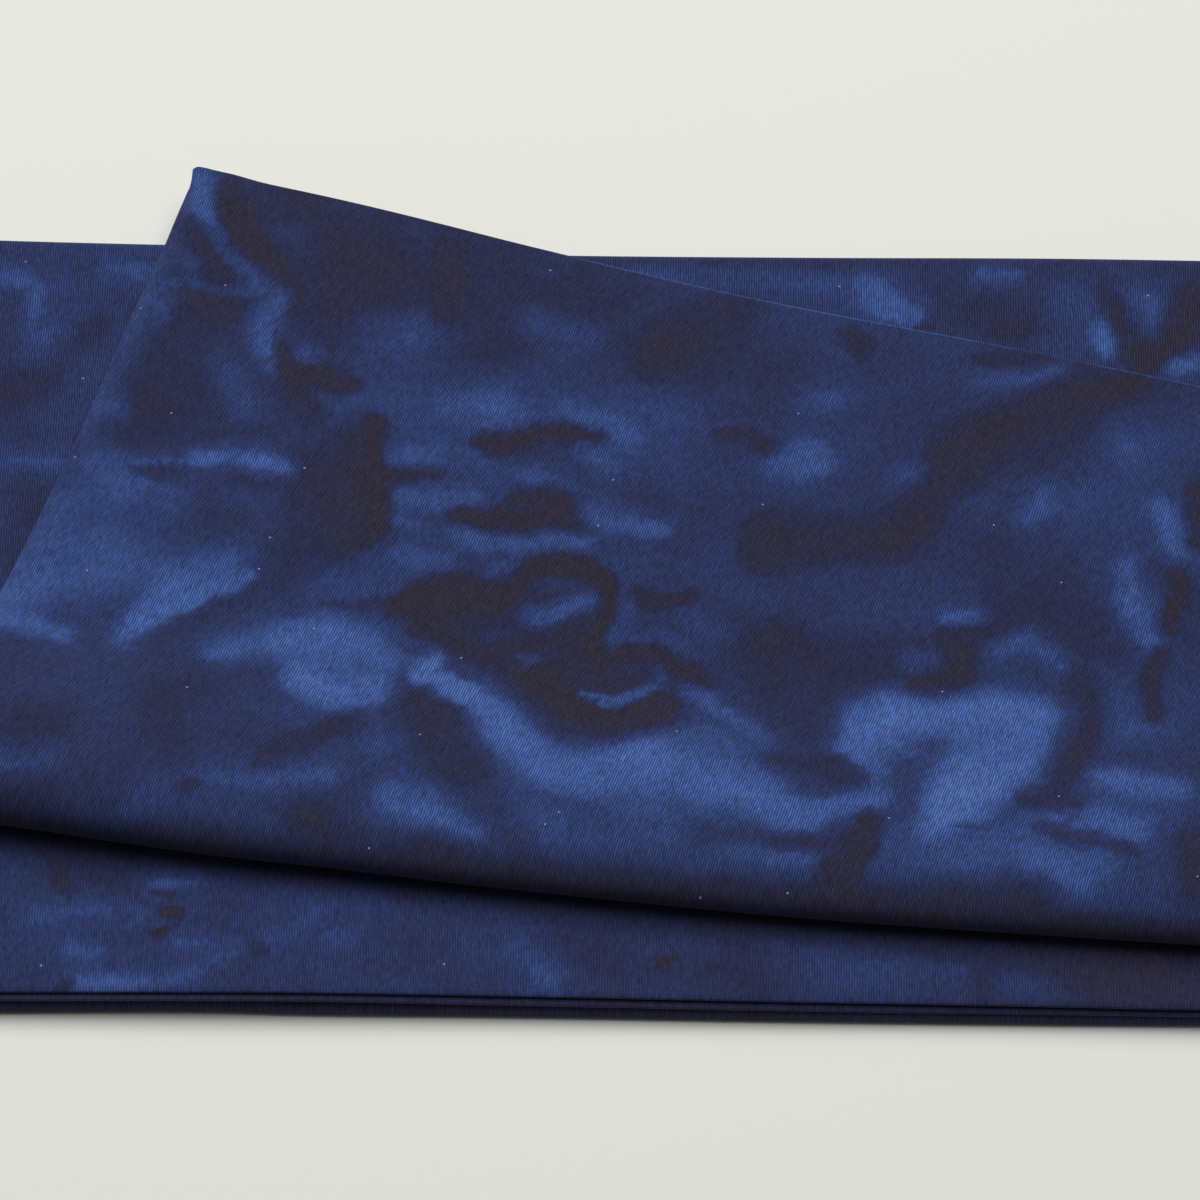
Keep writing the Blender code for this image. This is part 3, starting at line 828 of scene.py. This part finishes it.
# Cloth colours from the lightest dye to the deepest, where the vat has gone brown.
DYE_COLOURS = ["#4A6CAD", "#335192", "#213365", "#1C2347", "#23202E"]

# Threads lie 0.30 mm apart. They are drawn 0.36 mm apart, since finer ones wouldn't show. Each is
# paler on its back, partly from wear and partly as a painted highlight, and darker between it and
# the next one as painted shade, and wanders a little out of its line.
THREAD_MM = 0.36
THREAD_BACK_WEAR_AND_HIGHLIGHT = (2.05, 1.74, 1.48, 1.0)
THREAD_GAP_SHADE = (0.10, 0.18, 0.36, 1.0)
CROSSING_SHARE = 0.16
THREAD_HEIGHT = 0.04
DRIFT_MM = 7.0
DRIFT_REACH = 0.5
# On the strip's top leaf, the first on the cut, the threads show less than on the flap.
TOP_LEAF_MM = 146.0
TOP_LEAF_WEAVE = 0.6
MEAN_WEAVE = 0.64
# Each thread took a little more or less dye, and that changes along it over this length. The noise
# that it follows lies mostly between these two values.
STREAK_MM = 1.5
STREAK_CONTRAST = 0.34
STREAK_NOISE = (0.25, 0.75)
# This turns a thread's number into a place in the noise, so that no two threads are alike.
THREAD_JUMP = 5.17
# Small patches lean to teal or to violet.
TINT_MM = 2.4
TINT_CONTRAST = 0.22

# Specks of pale lint: cells of this size, with a speck of this radius in this share of them.
LINT_SPACING_MM = 11.0
LINT_MM = 0.14
LINT_SHARE = 0.16
LINT_COLOUR = "#8C97B4"

# Cotton is matt, with a faint sheen of fibre ends. The table is matt too.
COTTON_FINISH = {
    "Roughness": 0.9, "Specular IOR Level": 0.2, "Sheen Weight": 0.08, "Sheen Roughness": 0.5}
TABLE_FINISH = {"Roughness": 0.8, "Specular IOR Level": 0.2}
TABLE_COLOUR = "#E8E9E4"
TABLE_SIDE_M = 4.0

# One large soft lamp behind and above the cloth, in metres, and a faint even light from all round.
SOFTBOX_SIZE = (1.56, 1.32)
SOFTBOX_PLACE = (-0.09, 0.30, 0.97)
SOFTBOX_WATTS = 14.5
SOFTBOX_COLOUR = (1.0, 0.995, 0.975)
STUDIO_FILL = 0.13


def dye_and_painted_light_depth(tree, place):
    """How deep the dye is, from 0 to 1, painted shade and highlights included: the ground, its fine
    mottle and the strokes on it.
    """
    mottle = add_node(
        tree, "TexNoise",
        {"Vector": place, "Scale": 1.0 / MOTTLE_MM, "Detail": 4.0, "Roughness": 0.5})
    stored = add_node(tree, "Attribute", attribute_name="ground")
    ground = add_node(tree, "SeparateXYZ", {0: stored.outputs["Vector"]})
    depth = add_node(
        tree, "Math", {0: mottle, 1: MOTTLE_DEPTH, 2: -MOTTLE_DEPTH / 2}, operation="MULTIPLY_ADD")
    depth = add_node(tree, "Math", {0: depth, 1: ground.outputs[0]}, operation="ADD")

    # The outlines of the strokes wander, as dye does that creeps along the threads.
    creep = add_node(
        tree, "TexNoise", {"Vector": place, "Scale": 1.0 / CREEP_MM, "Detail": 3.0, "Roughness": 0.6})
    wander = add_node(
        tree, "Math", {0: creep, 1: 2.0 * CREEP_REACH, 2: -CREEP_REACH}, operation="MULTIPLY_ADD")
    for name in ("deep", "pale"):
        stored = add_node(tree, "Attribute", attribute_name=name)
        stroke = add_node(tree, "SeparateXYZ", {0: stored.outputs["Vector"]})
        inside = add_node(tree, "Math", {0: stroke.outputs[0], 1: wander}, operation="ADD")
        share = add_node(
            tree, "Math", {0: inside, 1: stroke.outputs[1], 2: 0.5}, operation="MULTIPLY_ADD")
        cover = add_node(tree, "MapRange", {0: share}, interpolation_type="SMOOTHSTEP")
        depth = add_node(tree, "Mix", {0: cover, 2: depth, 3: stroke.outputs[2]}, data_type="FLOAT")
    return depth


def cotton():
    """Plain-woven cotton, dyed by hand: matt, mottled, with the threads just showing."""
    made = bpy.data.materials.new("indigo_dyed_cotton")
    made.use_nodes = True
    tree = made.node_tree
    shader = tree.nodes["Principled BSDF"]
    place = add_node(tree, "UVMap", uv_map="cut")

    depth = dye_and_painted_light_depth(tree, place)
    ramp = add_node(tree, "ValToRGB", {0: depth})
    stops = ramp.color_ramp.elements
    while len(stops) < len(DYE_COLOURS):
        stops.new(0.5)
    for i, colour in enumerate(DYE_COLOURS):
        stops[i].position = i / (len(DYE_COLOURS) - 1)
        stops[i].color = linear(colour)

    # Threads aren't quite straight.
    drift = add_node(tree, "TexNoise", {"Vector": place, "Scale": 1.0 / DRIFT_MM, "Detail": 2.0})
    lines = add_node(
        tree, "VectorMath",
        {0: drift.outputs["Color"], 1: (DRIFT_REACH,) * 3, 2: place}, operation="MULTIPLY_ADD")

    # Each thread took its own share of dye, a little more or less along its length.
    threads = add_node(
        tree, "VectorMath",
        {0: lines, 1: (1.0 / THREAD_MM, 1.0 / STREAK_MM, 1.0)}, operation="MULTIPLY")
    number = add_node(tree, "VectorMath", {0: threads}, operation="FLOOR")
    length = add_node(tree, "VectorMath", {0: threads, 1: (0.0, 1.0, 0.0)}, operation="MULTIPLY")
    own = add_node(
        tree, "VectorMath",
        {0: number, 1: (THREAD_JUMP, 0.0, 0.0), 2: length},
        operation="MULTIPLY_ADD")
    streaks = add_node(tree, "TexNoise", {"Vector": own, "Scale": 1.0, "Detail": 1.0})
    tone = add_node(
        tree, "MapRange",
        {0: streaks, 1: STREAK_NOISE[0], 2: STREAK_NOISE[1],
         3: 1.0 - STREAK_CONTRAST, 4: 1.0 + STREAK_CONTRAST},
        clamp=False)

    # Plain weave: each thread's round back, and its dips under the threads that cross it.
    angles = add_node(
        tree, "VectorMath", {0: lines, 1: (math.pi / THREAD_MM,) * 3}, operation="MULTIPLY")
    waves = add_node(tree, "VectorMath", {0: angles}, operation="SINE")
    each = add_node(tree, "SeparateXYZ", {0: waves})
    crossing = add_node(tree, "Math", {0: each.outputs[0], 1: each.outputs[1]}, operation="MULTIPLY")
    back = add_node(tree, "Math", {0: each.outputs[0]}, operation="ABSOLUTE")
    weave = add_node(
        tree, "Math", {0: crossing, 1: CROSSING_SHARE, 2: back}, operation="MULTIPLY_ADD")
    across = add_node(tree, "SeparateXYZ", {0: place})
    shown = add_node(
        tree, "MapRange",
        {0: across.outputs[1], 1: TOP_LEAF_MM / 2, 2: TOP_LEAF_MM, 3: TOP_LEAF_WEAVE, 4: 1.0})
    weave = add_node(tree, "Mix", {0: shown, 2: MEAN_WEAVE, 3: weave}, data_type="FLOAT")
    # The weave's light and shade is painted in its colour: paler backs, partly wear and partly
    # painted highlight, and painted shade between the threads.
    weave_wear_and_shading = add_node(tree, "Mix", {0: weave, 6: THREAD_GAP_SHADE, 7: THREAD_BACK_WEAR_AND_HIGHLIGHT}, data_type="RGBA")
    shade = add_node(tree, "VectorMath", {0: weave_wear_and_shading.outputs[2], 3: tone}, operation="SCALE")
    tints = add_node(tree, "TexNoise", {"Vector": place, "Scale": 1.0 / TINT_MM, "Detail": 2.0})
    tint = add_node(
        tree, "VectorMath",
        {0: tints.outputs["Color"], 1: (TINT_CONTRAST,) * 3, 2: (1.0 - TINT_CONTRAST / 2,) * 3},
        operation="MULTIPLY_ADD")
    tinted = add_node(tree, "VectorMath", {0: ramp, 1: tint}, operation="MULTIPLY")
    threaded = add_node(tree, "VectorMath", {0: tinted, 1: shade}, operation="MULTIPLY")

    # Lint: here and there a pale speck of loose fibre.
    cells = add_node(
        tree, "TexVoronoi", {"Vector": place, "Scale": 1.0 / LINT_SPACING_MM},
        voronoi_dimensions="2D")
    near = add_node(
        tree, "Math", {0: cells.outputs["Distance"], 1: LINT_MM / LINT_SPACING_MM},
        operation="LESS_THAN")
    chance = add_node(tree, "SeparateXYZ", {0: cells.outputs["Color"]})
    some = add_node(tree, "Math", {0: chance.outputs[0], 1: LINT_SHARE}, operation="LESS_THAN")
    lint = add_node(tree, "Math", {0: near, 1: some}, operation="MULTIPLY")
    speckled = add_node(tree, "Mix", {0: lint, 6: threaded, 7: linear(LINT_COLOUR)}, data_type="RGBA")
    tree.links.new(speckled.outputs[2], shader.inputs["Base Color"])

    bump = add_node(tree, "Bump", {"Height": weave, "Distance": THREAD_HEIGHT * MM, "Strength": 1.0})
    tree.links.new(bump.outputs[0], shader.inputs["Normal"])
    for socket, value in COTTON_FINISH.items():
        shader.inputs[socket].default_value = value
    return made


def table_material():
    """Smooth matt paint, pale and plain."""
    made = bpy.data.materials.new("pale_table")
    made.use_nodes = True
    shader = made.node_tree.nodes["Principled BSDF"]
    shader.inputs["Base Color"].default_value = linear(TABLE_COLOUR)
    for socket, value in TABLE_FINISH.items():
        shader.inputs[socket].default_value = value
    return made


def add_table():
    bpy.ops.object.select_all(action="DESELECT")
    bpy.ops.mesh.primitive_plane_add(size=TABLE_SIDE_M)
    table = bpy.context.object
    table.name = "table"
    table.data.materials.append(table_material())


def add_camera():
    data = bpy.data.cameras.new("camera")
    data.lens = LENS_MM
    data.sensor_width = SENSOR_MM
    data.clip_start, data.clip_end = CAMERA_CLIP_M
    camera = bpy.data.objects.new("camera", data)
    bpy.context.scene.collection.objects.link(camera)
    aim = -Vector(TABLE_ORIGIN) * MM
    back = Vector((math.sin(CAMERA_TURN), -math.cos(CAMERA_TURN), 0.0)) * math.cos(CAMERA_RISE)
    back.z = math.sin(CAMERA_RISE)
    camera.location = aim + back * CAMERA_DISTANCE * MM
    camera.rotation_euler = (math.pi / 2 - CAMERA_RISE, 0.0, CAMERA_TURN)
    bpy.context.scene.camera = camera


def add_lights():
    data = bpy.data.lights.new("softbox", "AREA")
    data.shape = "RECTANGLE"
    data.size, data.size_y = SOFTBOX_SIZE
    data.energy = SOFTBOX_WATTS
    data.color = SOFTBOX_COLOUR
    softbox = bpy.data.objects.new("softbox", data)
    bpy.context.scene.collection.objects.link(softbox)
    softbox.location = SOFTBOX_PLACE
    softbox.rotation_euler = (-Vector(SOFTBOX_PLACE)).to_track_quat("-Z", "Y").to_euler()
    world = bpy.data.worlds.new("studio")
    world.use_nodes = True
    fill = world.node_tree.nodes["Background"]
    fill.inputs["Color"].default_value = (1.0, 1.0, 1.0, 1.0)
    fill.inputs["Strength"].default_value = STUDIO_FILL
    bpy.context.scene.world = world


add_camera()
lower = Ply(LOWER_STEP, -1)
upper = Ply(UPPER_STEP, 1)
noise.seed_set(NOISE_SEED)
upper.dye = dye_and_painted_light_on(upper, {"strip": STRIP_DYE_AND_SHADE, "roll": FLAP_DYE_AND_PAINTED_LIGHT, "flap": FLAP_DYE_AND_PAINTED_LIGHT})
lower.dye = dye_and_painted_light_on(
    lower, {"strip": LIP_PAINTED_SHADE, "far fold": UNDER_DYE, "under": UNDER_DYE, "flap": FLAP_DYE_AND_PAINTED_LIGHT})
cloth = build_cloth(lower, upper)
cloth.data.materials.append(cotton())
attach(cloth, "root")
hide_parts("batik_cloth")
add_table()
add_lights()
bpy.context.scene.view_settings.view_transform = "Standard"
